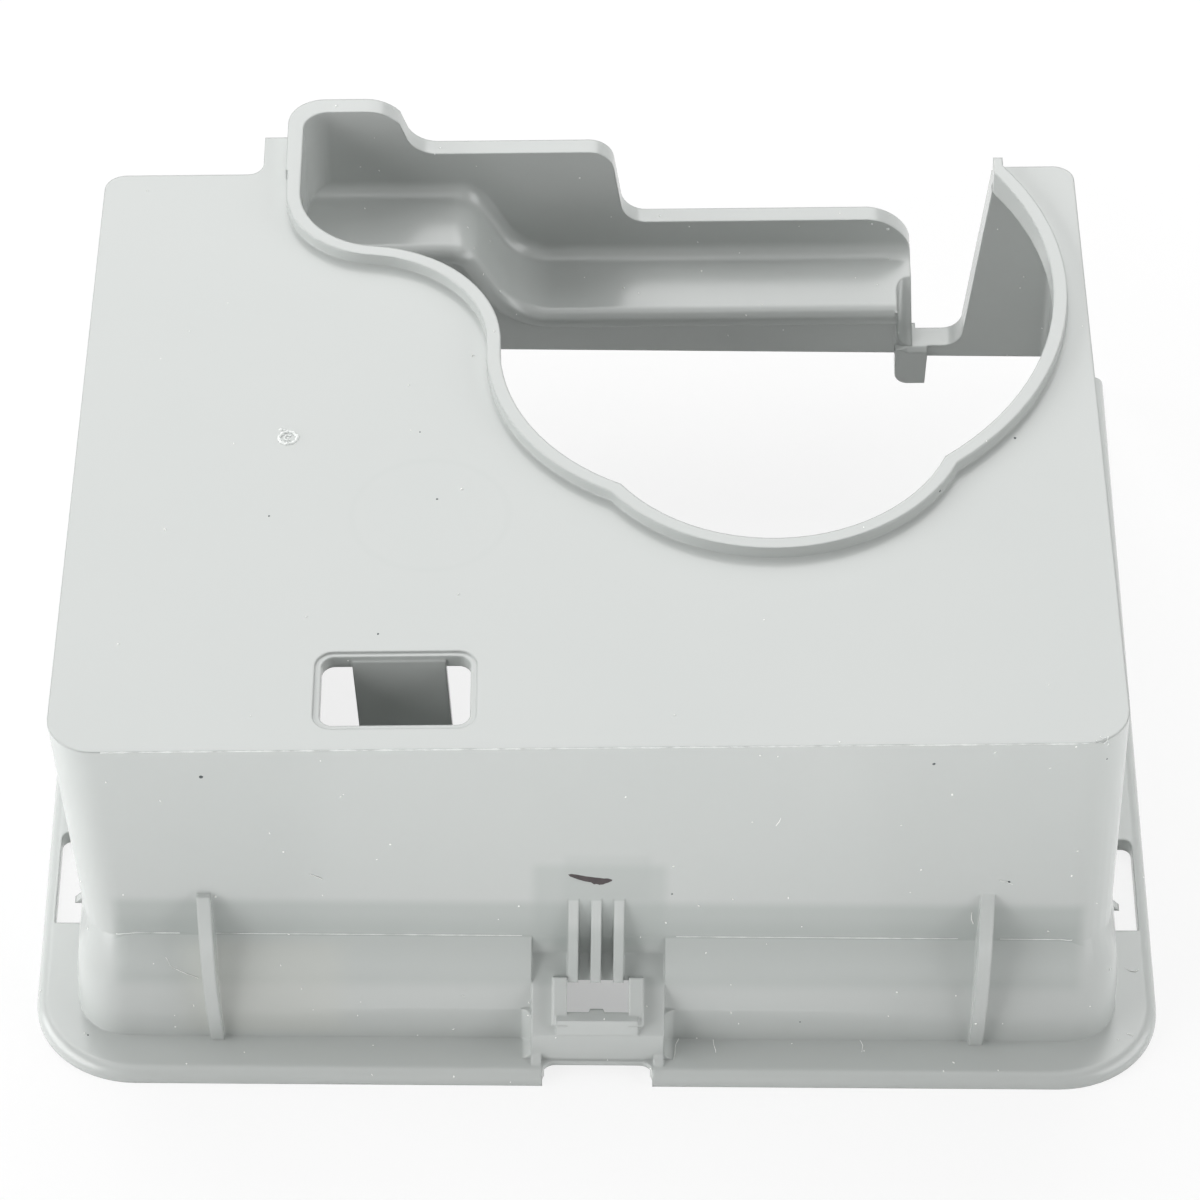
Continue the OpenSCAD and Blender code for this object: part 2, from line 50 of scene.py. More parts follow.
# %% [markdown]
# Colours are written as the sRGB hex values that a paint program shows. Blender's shaders
# work in linear light, so every colour goes through this one function.
# %% Colours
def linear(hex_code):
    """Turn an sRGB hex colour into linear red, green, blue and alpha."""
    levels = [int(hex_code[i:i + 2], 16) / 255 for i in (1, 3, 5)]
    light = [c / 12.92 if c <= 0.04045 else ((c + 0.055) / 1.055) ** 2.4 for c in levels]
    return (*light, 1.0)


PLASTIC = linear("#bdc0be")
PLASTIC_CLOUD = linear("#b9bdbb")
# The darker tone below is painted shade for the band above the shoulder, the rib patches and the
# shoulder, and also the tone of the faint ring on the plate.
PLASTIC_SHADE_AND_RING = linear("#9ea4a1")
PLASTIC_WARM = linear("#c3c3b9")
print("plastic in linear light", [round(c, 3) for c in PLASTIC])

# %% [markdown]
# ## The camera
# The place and the three angles come from a fit of the photo's straight edges. The lens is
# long, so the part is seen almost without perspective. The camera comes before the marks,
# because the marks are placed by looking through it.
# %% Camera
PLACE = Vector((-7.574, -682.219, 708.437)) * MM
PITCH, YAW, ROLL = math.radians(44.995), math.radians(0.649), math.radians(-0.912)
FOCAL_PX, IMAGE_PX, SENSOR_MM = 6076.28, 1200, 36
NEAREST, FARTHEST = 0.05, 20


def camera_axes():
    """The camera's right, down and forward directions."""
    forward = Vector((math.sin(YAW) * math.cos(PITCH), math.cos(YAW) * math.cos(PITCH),
                      -math.sin(PITCH)))
    right = Vector((math.cos(YAW), -math.sin(YAW), 0))
    down = forward.cross(right)
    return (right * math.cos(ROLL) + down * math.sin(ROLL),
            down * math.cos(ROLL) - right * math.sin(ROLL), forward)


RIGHT, DOWN, FORWARD = camera_axes()


def photo_camera():
    """Camera with the photo's place, direction, roll and focal length."""
    data = bpy.data.cameras.new("photo camera")
    data.sensor_width = SENSOR_MM
    data.lens = FOCAL_PX / IMAGE_PX * SENSOR_MM
    data.clip_start, data.clip_end = NEAREST, FARTHEST
    item = bpy.data.objects.new("photo camera", data)
    bpy.context.collection.objects.link(item)
    item.matrix_world = (Matrix.Translation(PLACE)
                         @ Matrix((RIGHT, -DOWN, -FORWARD)).transposed().to_4x4())
    bpy.context.scene.camera = item
    return item


camera = photo_camera()
bpy.context.scene.view_settings.view_transform = "Standard"
print("lens", round(camera.data.lens, 2), "mm")

# %% [markdown]
# ## Smooth faces
# The frame's mesh is made of flat triangles, so round corners show as facets. A copy with
# its doubles merged can be shaded smooth. Edges over the crease angle stay sharp, and the
# weighted normals keep the large flat walls flat right up to their rounded corners.
# %% Smooth copy of the moulding
CREASE, DOUBLES = math.radians(27), 0.0005


def keep_plain(item, name):
    """Evaluate an object's modifiers and keep the result as a plain mesh object."""
    graph = bpy.context.evaluated_depsgraph_get()
    graph.update()
    mesh = bpy.data.meshes.new_from_object(item.evaluated_get(graph),
                                           preserve_all_data_layers=True, depsgraph=graph)
    mesh.name = name
    plain = bpy.data.objects.new(name, mesh)
    bpy.context.collection.objects.link(plain)
    bpy.data.objects.remove(item)
    return plain


def smooth_moulding():
    """The guide's own mesh, merged and shaded smooth, in place of the faceted node."""
    form = bmesh.new()
    form.from_mesh(guide.data)
    bmesh.ops.remove_doubles(form, verts=form.verts, dist=DOUBLES * MM)
    for face in form.faces:
        face.smooth = True
    for edge in form.edges:
        edge.smooth = edge.calc_face_angle(math.pi) < CREASE
    mesh = bpy.data.meshes.new("smooth moulding")
    form.to_mesh(mesh)
    form.free()
    item = bpy.data.objects.new("smooth moulding", mesh)
    bpy.context.collection.objects.link(item)
    weighted = item.modifiers.new("weighted", "WEIGHTED_NORMAL")
    weighted.keep_sharp = True
    weighted.mode = "FACE_AREA_WITH_ANGLE"
    return keep_plain(item, "moulding")


moulding = smooth_moulding()
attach(moulding, "root")
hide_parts("filter_guide")
print("smooth moulding", len(moulding.data.polygons), "faces")

# %% [markdown]
# ## Finding a place on the part
# Small marks are known by where they are in the photo. A ray from the camera through that
# pixel hits the moulding at one point, so each mark sits on the real surface and stays
# there from every side.
# %% Pixel to surface
surface = BVHTree.FromPolygons([v.co.copy() for v in moulding.data.vertices],
                               [tuple(p.vertices) for p in moulding.data.polygons])
EDGE_PX = 12


def on_part(u, v, lift=0.0):
    """World point and face normal under a pixel of the 1200 px photo, lifted by lift mm.

    Where a pixel at an edge just misses the part, the ones below it are tried.
    """
    half = IMAGE_PX / 2
    for below in range(EDGE_PX):
        ray = (FORWARD * FOCAL_PX + RIGHT * (u - half) + DOWN * (v + below - half)).normalized()
        point, normal, _, _ = surface.ray_cast(PLACE, ray)
        if point is not None:
            break
    if point is None:
        raise ValueError(f"no part under pixel {u}, {v}")
    if normal.dot(ray) > 0:
        normal = -normal
    return point + normal * lift * MM, normal


GATE_PIXEL, STROKE_PIXEL = (288, 438), (590, 878)
for name, pixel in (("gate mark", GATE_PIXEL), ("pen stroke", STROKE_PIXEL)):
    print(name, "at", [round(c / MM, 1) for c in on_part(*pixel)[0]], "mm")

# %% [markdown]
# Node trees get long, so a few small helpers keep them readable. One adds a node with its
# settings and inputs, one starts a new material with Object coordinates, and two make what
# the zones of painted shade and tone need: a soft box as a mask, and a step towards a tone.
# %% Helpers for node trees
# A Mix node has several sockets of each name, so those for colours go by number.
FACTOR, COLOUR_A, COLOUR_B, MIXED_COLOUR = 0, 6, 7, 2


def add_node(tree, kind, inputs=None, **settings):
    """Add a node with its settings. An input that is a socket is linked, a value is set."""
    node = tree.nodes.new(kind)
    for key, value in settings.items():
        setattr(node, key, value)
    for key, value in (inputs or {}).items():
        if isinstance(value, bpy.types.NodeSocket):
            tree.links.new(value, node.inputs[key])
        else:
            node.inputs[key].default_value = value
    return node


def new_material(name):
    """Start a material: returns it, its tree, its main shader and its Object coordinates."""
    material = bpy.data.materials.new(name)
    material.use_nodes = True
    tree = material.node_tree
    shader = tree.nodes["Principled BSDF"]
    coords = add_node(tree, "ShaderNodeTexCoord")
    return material, tree, shader, coords.outputs["Object"]


def window(tree, coords, low, high, soft):
    """A mask that is 1 inside a box given in mm and fades to 0 over soft mm at each side."""
    axes = add_node(tree, "ShaderNodeSeparateXYZ", {0: coords})
    mask = 1.0
    for axis in range(3):
        for inner, outer in ((low, low[axis] - soft[axis]), (high, high[axis] + soft[axis])):
            ramp = add_node(tree, "ShaderNodeMapRange",
                            {"Value": axes.outputs[axis], "From Min": outer * MM,
                             "From Max": inner[axis] * MM}, interpolation_type="SMOOTHSTEP")
            both = add_node(tree, "ShaderNodeMath", {0: mask, 1: ramp.outputs[0]},
                            operation="MULTIPLY")
            mask = both.outputs[0]
    return mask


def mix_towards(tree, colour, other, mask, share):
    """Mix a colour socket towards another colour by a share of a mask."""
    part = add_node(tree, "ShaderNodeMath", {0: mask, 1: share}, operation="MULTIPLY")
    mix = add_node(tree, "ShaderNodeMix",
                   {FACTOR: part.outputs[0], COLOUR_A: colour, COLOUR_B: other}, data_type="RGBA")
    return mix.outputs[MIXED_COLOUR]


print("a Mix node's colour sockets", COLOUR_A, COLOUR_B, "and its result", MIXED_COLOUR)

# %% [markdown]
# ## Painted shade and tones of the plastic
# Some zones are a little darker than the rest. A band above the shoulder, a patch behind the
# three ribs and the shoulder itself are painted shade; a yellowish tint at the shoulder's left
# end and a faint ring on the plate are tones of the plastic. Painting a texture would tie them
# to a picture, so each zone is a soft box in the part's own millimetres, with the share that
# its tone takes. The front wall's place is measured where the pen stroke lies.
# %% Zones and ring
SHOULDER_Z, WALL_Y = 21.2, round(on_part(*STROKE_PIXEL)[0].y / MM, 1)
WALL_FRONT, WALL_BACK = WALL_Y - 0.1, WALL_Y + 0.9
# The band, both rib patches and the shoulder are painted shade; the warm end is a tone of the
# plastic.
BAND = ((-72, WALL_FRONT, SHOULDER_Z - 1), (72, WALL_BACK, SHOULDER_Z + 5.6), (2.5, 0.08, 2.6))
RIB_PATCH = ((-8.8, WALL_FRONT, SHOULDER_Z - 1), (8.9, WALL_BACK, 35.2), (2.2, 0.08, 2.6))
RIB_PATCH_TOP = ((-4.4, WALL_FRONT, 30), (6.8, WALL_BACK, 37.6), (1.8, 0.08, 2.0))
SHOULDER = ((-72, -69.6, 14.5), (72, WALL_Y - 0.15, SHOULDER_Z + 1), (2.5, 1.0, 3.5))
WARM_END = ((-60, -71.3, 5), (-42, -66.6, 18), (6, 0.4, 3))
SHADE_AND_TONE_ZONES = ((BAND, PLASTIC_SHADE_AND_RING, 0.55), (RIB_PATCH, PLASTIC_SHADE_AND_RING, 0.38),
               (RIB_PATCH_TOP, PLASTIC_SHADE_AND_RING, 0.16), (SHOULDER, PLASTIC_SHADE_AND_RING, 0.4),
               (WARM_END, PLASTIC_WARM, 0.25))
RING_AT, RING_R, RING_BAND, RING_SHARE = (-26.2, -17.0, 61.4), 12.0, 0.9, 0.05


def faint_ring(tree, coords):
    """A mask for the thin round mark on the plate."""
    away = add_node(tree, "ShaderNodeVectorMath", {0: coords, 1: [c * MM for c in RING_AT]},
                    operation="DISTANCE")
    off = add_node(tree, "ShaderNodeMath", {0: away.outputs["Value"], 1: RING_R * MM},
                   operation="SUBTRACT")
    size = add_node(tree, "ShaderNodeMath", {0: off.outputs[0]}, operation="ABSOLUTE")
    ramp = add_node(tree, "ShaderNodeMapRange",
                    {"Value": size.outputs[0], "From Min": RING_BAND * MM, "From Max": 0.0})
    return ramp.outputs[0]


def shade_and_tone_zones(tree, coords, colour):
    """The plastic's colour with its painted shade, its tones and the ring mixed in."""
    for box, tone, share in SHADE_AND_TONE_ZONES:
        colour = mix_towards(tree, colour, tone, window(tree, coords, *box), share)
    return mix_towards(tree, colour, PLASTIC_SHADE_AND_RING, faint_ring(tree, coords), RING_SHARE)


print("zones", len(SHADE_AND_TONE_ZONES), "wall at y", WALL_Y, "mm, ring of radius", RING_R, "mm")

# %% [markdown]
# ## The plastic
# Moulded polypropylene is a little uneven: broad clouds in the colour where the melt ran, a
# fine satin grain, faint upright drag lines from the mould, and a gloss that changes a
# little in patches. Each is a noise sized in millimetres that reads Object coordinates, so
# it stays put when the part turns. A moulding has no knife edges either: the Bevel node
# rounds them for the light, which costs no faces.
# %% Plastic material
CLOUD_MM, GLOSS_MM, GRAIN_MM, DRAG_MM, DRAG_SQUEEZE = 38, 12, 0.7, 0.9, 0.06
SMOOTHEST, ROUGHEST, EDGE_RADIUS = 0.19, 0.265, 0.5
BUMP_DEPTH, GRAIN_BUMP, DRAG_BUMP = 0.02, 0.06, 0.05


def moulded_plastic():
    """Pale grey polypropylene with a fine satin grain."""
    material, tree, shader, coords = new_material("moulded polypropylene")
    upright = add_node(tree, "ShaderNodeMapping",
                       {"Vector": coords, "Scale": (1, 1, DRAG_SQUEEZE)}).outputs[0]
    clouds, patches, grain, drags = (
        add_node(tree, "ShaderNodeTexNoise",
                 {"Vector": place, "Scale": 1 / (size * MM), "Detail": detail}).outputs["Fac"]
        for place, size, detail in ((coords, CLOUD_MM, 3.0), (coords, GLOSS_MM, 3.0),
                                    (coords, GRAIN_MM, 2.0), (upright, DRAG_MM, 2.0)))
    tint = add_node(tree, "ShaderNodeMix",
                    {FACTOR: clouds, COLOUR_A: PLASTIC, COLOUR_B: PLASTIC_CLOUD}, data_type="RGBA")
    # The zones mixed in here paint shade on the band above the shoulder, the rib patches and the
    # shoulder.
    colour = shade_and_tone_zones(tree, coords, tint.outputs[MIXED_COLOUR])
    gloss = add_node(tree, "ShaderNodeMapRange",
                     {"Value": patches, "To Min": SMOOTHEST, "To Max": ROUGHEST})
    edges = add_node(tree, "ShaderNodeBevel", {"Radius": EDGE_RADIUS * MM}, samples=6)
    lines = add_node(tree, "ShaderNodeBump",
                     {"Strength": DRAG_BUMP, "Distance": BUMP_DEPTH * MM, "Height": drags,
                      "Normal": edges.outputs["Normal"]})
    satin = add_node(tree, "ShaderNodeBump",
                     {"Strength": GRAIN_BUMP, "Distance": BUMP_DEPTH * MM, "Height": grain,
                      "Normal": lines.outputs["Normal"]})
    tree.links.new(colour, shader.inputs["Base Color"])
    tree.links.new(gloss.outputs[0], shader.inputs["Roughness"])
    tree.links.new(satin.outputs["Normal"], shader.inputs["Normal"])
    shader.inputs["Specular IOR Level"].default_value = 0.6
    return material


plastic = moulded_plastic()
# The faceted node that the smooth copy replaces gets the same plastic.
for item in (moulding, guide):
    item.data.materials.clear()
    item.data.materials.append(plastic)
print("plastic set,", len(plastic.node_tree.nodes), "nodes")

# %% [markdown]
# ## Materials of the marks
# Flash is the same plastic, so thin that it looks almost white. Dust and lint are matte and
# pale, and the specks are plastic burnt to a dark grey. The pen stroke is marker ink that
# dried brownish black, a little streaky. All four are one kind of finish with other tones,
# so one function makes them.
# %% Flash, dust, speck and ink materials
UNEVEN_BUMP, UNEVEN_DEPTH = 0.2, 0.03


def plain_finish(name, pale, dark, pattern_mm, roughness):
    """A plain finish whose colour wanders between two tones, with a slight unevenness."""
    material, tree, shader, coords = new_material(name)
    wander = add_node(tree, "ShaderNodeTexNoise",
                      {"Vector": coords, "Scale": 1 / (pattern_mm * MM), "Detail": 3.0})
    tone = add_node(tree, "ShaderNodeMix",
                    {FACTOR: wander.outputs["Fac"], COLOUR_A: linear(pale), COLOUR_B: linear(dark)},
                    data_type="RGBA")
    bump = add_node(tree, "ShaderNodeBump",
                    {"Strength": UNEVEN_BUMP, "Distance": UNEVEN_DEPTH * MM,
                     "Height": wander.outputs["Fac"]})
    tree.links.new(tone.outputs[MIXED_COLOUR], shader.inputs["Base Color"])
    tree.links.new(bump.outputs["Normal"], shader.inputs["Normal"])
    shader.inputs["Roughness"].default_value = roughness
    return material


# This pale material is real flash on the edges, burrs, gate mark and bits; on the witness line its
# paleness is a painted highlight.
pale_flash_and_highlight = plain_finish("thin polypropylene flash", "#f2f4f2", "#d9dddb", 0.8, 0.35)
dust = plain_finish("pale workshop dust", "#fafaf8", "#eeefec", 0.5, 0.9)
speck = plain_finish("burnt speck", "#34393a", "#5a6163", 0.3, 0.6)
ink = plain_finish("dried marker ink", "#231d1e", "#4c4243", 0.9, 0.45)
print("materials", [m.name for m in bpy.data.materials])

# %% [markdown]
# ## Geometry Nodes trees
# Two trees follow, one for threads and one for dust. Both start with named inputs, so that
# sizes can be set from outside, and both end in Realize Instances and Set Material, so that
# the result is plain faces that can be exported.
# %% Start and end of a tree
NUMBER, COUNT, PAINT = "NodeSocketFloat", "NodeSocketInt", "NodeSocketMaterial"


def geometry_tree(name, inputs):
    """Start a Geometry Nodes tree with named inputs: returns it and its input node."""
    tree = bpy.data.node_groups.new(name, "GeometryNodeTree")
    tree.interface.new_socket("Geometry", in_out="INPUT", socket_type="NodeSocketGeometry")
    for label, kind in inputs.items():
        tree.interface.new_socket(label, in_out="INPUT", socket_type=kind)
    tree.interface.new_socket("Geometry", in_out="OUTPUT", socket_type="NodeSocketGeometry")
    return tree, add_node(tree, "NodeGroupInput")


def end_tree(tree, geometry, material):
    """End a tree: real faces instead of instances, with the material set."""
    real = add_node(tree, "GeometryNodeRealizeInstances", {0: geometry})
    painted = add_node(tree, "GeometryNodeSetMaterial",
                       {"Geometry": real.outputs[0], "Material": material})
    add_node(tree, "NodeGroupOutput", {0: painted.outputs[0]})
    return tree


def set_inputs(modifier, **values):
    """Set a Geometry Nodes modifier's inputs by each socket's identifier."""
    for socket in modifier.node_group.interface.items_tree:
        key = socket.name.replace(" ", "_").lower()
        if socket.in_out == "INPUT" and key in values:
            modifier[socket.identifier] = values[key]


print("input kinds", NUMBER, COUNT, PAINT)

# %% [markdown]
# ## Threads: flash, burrs and lint
# Flash is the thin film that creeps into the joint of the mould, and lint is a fallen
# fibre. Both are thin threads along a path, so one Geometry Nodes tree makes them all: it
# turns a line of points into a curve, lets it wander by noise, gives it an uneven
# thickness and wraps it in a small tube.
# %% Thread tree
STEP_MM, THREAD_SIDES = 0.25, 5
NOISE_LOW, NOISE_HIGH, THINNEST, THICKEST = 0.35, 0.65, 0.25, 1.3


def thread_tree():
    """Geometry Nodes: a line of points becomes an uneven thin thread."""
    tree, given = geometry_tree("uneven thread", {
        "Thickness": NUMBER, "Wander": NUMBER, "Wander scale": NUMBER, "Seed": NUMBER,
        "Material": PAINT})
    curve = add_node(tree, "GeometryNodeMeshToCurve", {0: given.outputs["Geometry"]})
    even = add_node(tree, "GeometryNodeResampleCurve",
                    {"Curve": curve.outputs[0], "Length": STEP_MM * MM}, mode="LENGTH")
    drift = add_node(tree, "ShaderNodeTexNoise",
                     {"Scale": given.outputs["Wander scale"], "W": given.outputs["Seed"],
                      "Detail": 3.0}, noise_dimensions="4D")
    middle = add_node(tree, "ShaderNodeVectorMath",
                      {0: drift.outputs["Color"], 1: (0.5, 0.5, 0.5)}, operation="SUBTRACT")
    far = add_node(tree, "ShaderNodeVectorMath",
                   {0: middle.outputs[0], "Scale": given.outputs["Wander"]}, operation="SCALE")
    moved = add_node(tree, "GeometryNodeSetPosition",
                     {"Geometry": even.outputs[0], "Offset": far.outputs[0]})
    uneven = add_node(tree, "ShaderNodeMapRange",
                      {"Value": drift.outputs["Fac"], "From Min": NOISE_LOW,
                       "From Max": NOISE_HIGH, "To Min": THINNEST, "To Max": THICKEST})
    size = add_node(tree, "ShaderNodeMath",
                    {0: uneven.outputs[0], 1: given.outputs["Thickness"]}, operation="MULTIPLY")
    ring = add_node(tree, "GeometryNodeCurvePrimitiveCircle",
                    {"Resolution": THREAD_SIDES, "Radius": 1.0})
    tube = add_node(tree, "GeometryNodeCurveToMesh",
                    {"Curve": moved.outputs[0], "Profile Curve": ring.outputs[0],
                     "Scale": size.outputs[0], "Fill Caps": True})
    return end_tree(tree, tube.outputs[0], given.outputs["Material"])


THREAD = thread_tree()
print(THREAD.name, len(THREAD.nodes), "nodes")


# %% [markdown]
# A thread's path is a mesh of points joined by edges. The tree runs on it as a modifier,
# and what comes out is kept as a plain mesh.
# %% Threads along lines
def threads(name, lines, thickness, wander, wave, material, seed):
    """A piece made of threads, each along a list of world points, with its sizes in mm."""
    mesh = bpy.data.meshes.new(name)
    points, edges = [], []
    for line in lines:
        first = len(points)
        points += [tuple(p) for p in line]
        edges += [(first + i, first + i + 1) for i in range(len(line) - 1)]
    mesh.from_pydata(points, edges, [])
    item = bpy.data.objects.new(name + " lines", mesh)
    bpy.context.collection.objects.link(item)
    modifier = item.modifiers.new("thread", "NODES")
    modifier.node_group = THREAD
    set_inputs(modifier, thickness=thickness * MM, wander=wander * MM,
               wander_scale=1 / (wave * MM), seed=float(seed), material=material)
    piece = keep_plain(item, name)
    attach(piece, "root")
    print(name, len(piece.data.polygons), "faces")
    return piece


# %% [markdown]
# ## Flash and witness line
# The photo shows a bright ragged line where the plate meets the front wall. Its path is
# found on the part itself: between a pixel on the plate and one on the wall, halving the
# step finds where the surface turns from facing up to facing forward.
# %% Flash along the plate's front edge
HALVINGS, ON_TOP = 14, 0.02
EDGE_COLUMNS, PLATE_ROW, WALL_ROW, FACES_UP = range(100, 1098, 6), 722, 790, 0.8


def turning_point(column, above, below, is_above):
    """The point in a pixel column where the part's face stops being the one above."""
    for _ in range(HALVINGS):
        middle = (above + below) / 2
        if is_above(on_part(column, middle)[1]):
            above = middle
        else:
            below = middle
    return on_part(column, below, ON_TOP)[0]


front_edge = [turning_point(u, PLATE_ROW, WALL_ROW, lambda normal: normal.z > FACES_UP)
              for u in EDGE_COLUMNS]
flash = threads("edge_flash", [front_edge], thickness=0.085, wander=0.10, wave=1.6,
                material=pale_flash_and_highlight, seed=3)
print("edge from", [round(c / MM, 1) for c in front_edge[0]], "to",
      [round(c / MM, 1) for c in front_edge[-1]])

# %% [markdown]
# Where the front wall meets the shoulder, two parts of the mould met as well, and left a
# fine raised line that catches the light. It is found the same way: the wall is upright,
# and the shoulder leans. The line stops at the ribs and at the boss, which stand over it.
# %% Witness line along the shoulder
SHOULDER_COLUMNS = (range(116, 184, 4), range(216, 524, 6), range(676, 964, 6),
                    range(1000, 1076, 4))
LOW_WALL_ROW, SLOPE_ROW, UPRIGHT = 918, 950, 0.12

shoulder_lines = [[turning_point(u, LOW_WALL_ROW, SLOPE_ROW, lambda normal: normal.z < UPRIGHT)
                   for u in columns] for columns in SHOULDER_COLUMNS]
# The line is a real raised thread, and its near-white colour is a painted highlight for the light it
# catches.
witness = threads("witness_line", shoulder_lines, thickness=0.09, wander=0.03, wave=3.0,
                  material=pale_flash_and_highlight, seed=2)
print("witness line at z", round(shoulder_lines[1][5].z / MM, 1), "mm")

# %% [markdown]
# Short curls of flash stand at the plate's right front corner, and lint lies on the wall,
# the shoulder and the flange. Both are single things at known places, so their paths are
# traced in pixels of the photo.
# %% Burrs and lint
BURRS = [([(1100, 737), (1103, 739), (1106, 738)], 0.12),
         ([(1104, 742), (1107, 740), (1108, 737)], 0.15),
         ([(1096, 741), (1100, 742), (1104, 743)], 0.08)]
LINT = [
    [(1126, 968), (1130, 971), (1135, 972), (1139, 970)],
    [(166, 957), (171, 966), (180, 971), (190, 975), (198, 978)],
    [(713, 1040), (714, 1046), (716, 1053)],
    [(679, 1038), (676, 1044), (675, 1052), (674, 1060)],
    [(860, 1040), (863, 1046), (862, 1052)],
    [(972, 912), (971, 919), (973, 924)],
    [(1000, 880), (1006, 881), (1013, 884)],
    [(310, 874), (316, 876), (322, 878)],
    [(1127, 1034), (1130, 1035), (1133, 1036)],
    [(776, 826), (779, 822), (781, 818)],
]
LINT_LIFT = 0.09


def traced(pixels, lift):
    """World points on the part under a list of pixels, lifted by lift mm."""
    return [on_part(u, v, lift)[0] for u, v in pixels]


burrs = threads("corner_burrs", [traced(pixels, lift) for pixels, lift in BURRS],
                thickness=0.10, wander=0.25, wave=0.9, material=pale_flash_and_highlight, seed=5)
threads("lint", [traced(pixels, LINT_LIFT) for pixels in LINT],
        thickness=0.065, wander=0.5, wave=2.5, material=dust, seed=8)

# %% [markdown]
# ## Dust
# Dust is scattered, so Geometry Nodes scatter it: points on the faces that look up or
# forward, thick on the front wall, shoulder and flange and thin on the plate, each with a
# tiny rock of 20 faces in a random turn and size. Densities are grains per square metre.
# %% Dust tree
LOW_DENSITY, PLATE_DENSITY, PLATE_HEIGHT = 9000.0, 1600.0, 55
GRAIN_RADIUS, FLAT_GRAIN, LONG_GRAIN = 0.19, (0.35, 0.35, 0.3), (1.5, 1.1, 0.8)
DUST_SEED, FULL_TURN, LEAST_FACING = 4, 6.28, 0.25


def dust_tree():
    """Geometry Nodes: tiny grains scattered over the faces of a mesh."""
    tree, given = geometry_tree("scattered dust", {
        "Low density": NUMBER, "Plate density": NUMBER, "Plate height": NUMBER,
        "Grain radius": NUMBER, "Seed": COUNT, "Material": PAINT})
    place = add_node(tree, "ShaderNodeSeparateXYZ",
                     {0: add_node(tree, "GeometryNodeInputPosition").outputs[0]})
    facing = add_node(tree, "ShaderNodeSeparateXYZ",
                      {0: add_node(tree, "GeometryNodeInputNormal").outputs[0]})
    high = add_node(tree, "ShaderNodeMath",
                    {0: place.outputs["Z"], 1: given.outputs["Plate height"]},
                    operation="GREATER_THAN")
    share = add_node(tree, "ShaderNodeMix",
                     {"Factor": high.outputs[0], "A": given.outputs["Low density"],
                      "B": given.outputs["Plate density"]})
    up_or_forward = add_node(tree, "ShaderNodeMath",
                             {0: facing.outputs["Z"], 1: facing.outputs["Y"]},
                             operation="SUBTRACT")
    dusty = add_node(tree, "ShaderNodeMath", {0: up_or_forward.outputs[0], 1: LEAST_FACING},
                     operation="GREATER_THAN")
    density = add_node(tree, "ShaderNodeMath", {0: share.outputs[0], 1: dusty.outputs[0]},
                       operation="MULTIPLY")
    spread = add_node(tree, "GeometryNodeDistributePointsOnFaces",
                      {"Mesh": given.outputs["Geometry"], "Density": density.outputs[0],
                       "Seed": given.outputs["Seed"]})
    grain = add_node(tree, "GeometryNodeMeshIcoSphere",
                     {"Radius": given.outputs["Grain radius"], "Subdivisions": 1})
    turn, size = (add_node(tree, "FunctionNodeRandomValue",
                           {0: least, 1: most, "Seed": given.outputs["Seed"]},
                           data_type="FLOAT_VECTOR")
                  for least, most in (((0, 0, 0), (FULL_TURN, FULL_TURN, FULL_TURN)),
                                      (FLAT_GRAIN, LONG_GRAIN)))
    put = add_node(tree, "GeometryNodeInstanceOnPoints",
                   {"Points": spread.outputs["Points"], "Instance": grain.outputs[0],
                    "Rotation": turn.outputs[0], "Scale": size.outputs[0]})
    return end_tree(tree, put.outputs[0], given.outputs["Material"])


DUST = dust_tree()
print(DUST.name, len(DUST.nodes), "nodes")


# %% [markdown]
# The tree needs the moulding's faces to scatter on, but the moulding itself stays as it is.
# So the tree runs on a copy, and only the grains are kept.
# %% Scattered dust
def scattered_dust():
    """Grains of dust on the moulding, as one plain mesh."""
    item = bpy.data.objects.new("dust base", moulding.data.copy())
    bpy.context.collection.objects.link(item)
    modifier = item.modifiers.new("dust", "NODES")
    modifier.node_group = DUST
    set_inputs(modifier, low_density=LOW_DENSITY, plate_density=PLATE_DENSITY,
               plate_height=PLATE_HEIGHT * MM, grain_radius=GRAIN_RADIUS * MM,
               seed=DUST_SEED, material=dust)
    piece = keep_plain(item, "dust_grains")
    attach(piece, "root")
    return piece


grains = scattered_dust()
print("dust faces", len(grains.data.polygons), "materials",
      [m.name for m in grains.data.materials if m])

# %% [markdown]
# ## The gate mark
# The plastic came in through one small gate on the plate. Where it broke off stands a low
# ragged ring with a torn stub in it. A torus would be too even, so it is a bent tube made
# by hand: circles round a ring, each point moved a little by noise, so that no two sides
# look alike.
# %% Ragged ring
RING_STEPS, TUBE_SIDES = 56, 8
RING_BEND, BEND_WAVES, TUBE_SWELL, SWELL_WAVES = 0.16, 2.3, 0.6, 5


def ragged_ring(form, centre, normal, radius, tube, seed, rise=0.0, turn=2 * math.pi):
    """Add a noisy ring, or part of one, lying on a surface. Sizes are in mm."""
    side = normal.orthogonal().normalized()
    other = normal.cross(side)
    rows = []
    for i in range(RING_STEPS):
        angle = turn * i / RING_STEPS
        out = side * math.cos(angle) + other * math.sin(angle)
        bent = 1 + RING_BEND * noise.noise(out * BEND_WAVES + Vector((seed, 0, 0)))
        middle = centre + out * radius * bent * MM + normal * rise * MM
        swell = 1 + TUBE_SWELL * noise.noise(out * SWELL_WAVES + Vector((0, seed, 0)))
        thick = tube * swell * MM
        around = (2 * math.pi * k / TUBE_SIDES for k in range(TUBE_SIDES))
        rows.append([form.verts.new(middle + (out * math.cos(t) + normal * math.sin(t)) * thick)
                     for t in around])
    closed = turn == 2 * math.pi
    for i in range(RING_STEPS if closed else RING_STEPS - 1):
        a, b = rows[i], rows[(i + 1) % RING_STEPS]
        for k in range(TUBE_SIDES):
            after = (k + 1) % TUBE_SIDES
            form.faces.new((a[k], b[k], b[after], a[after]))
    if not closed:
        form.faces.new(rows[0])
        form.faces.new(list(reversed(rows[-1])))


print("a ragged ring has", RING_STEPS * TUBE_SIDES, "faces")


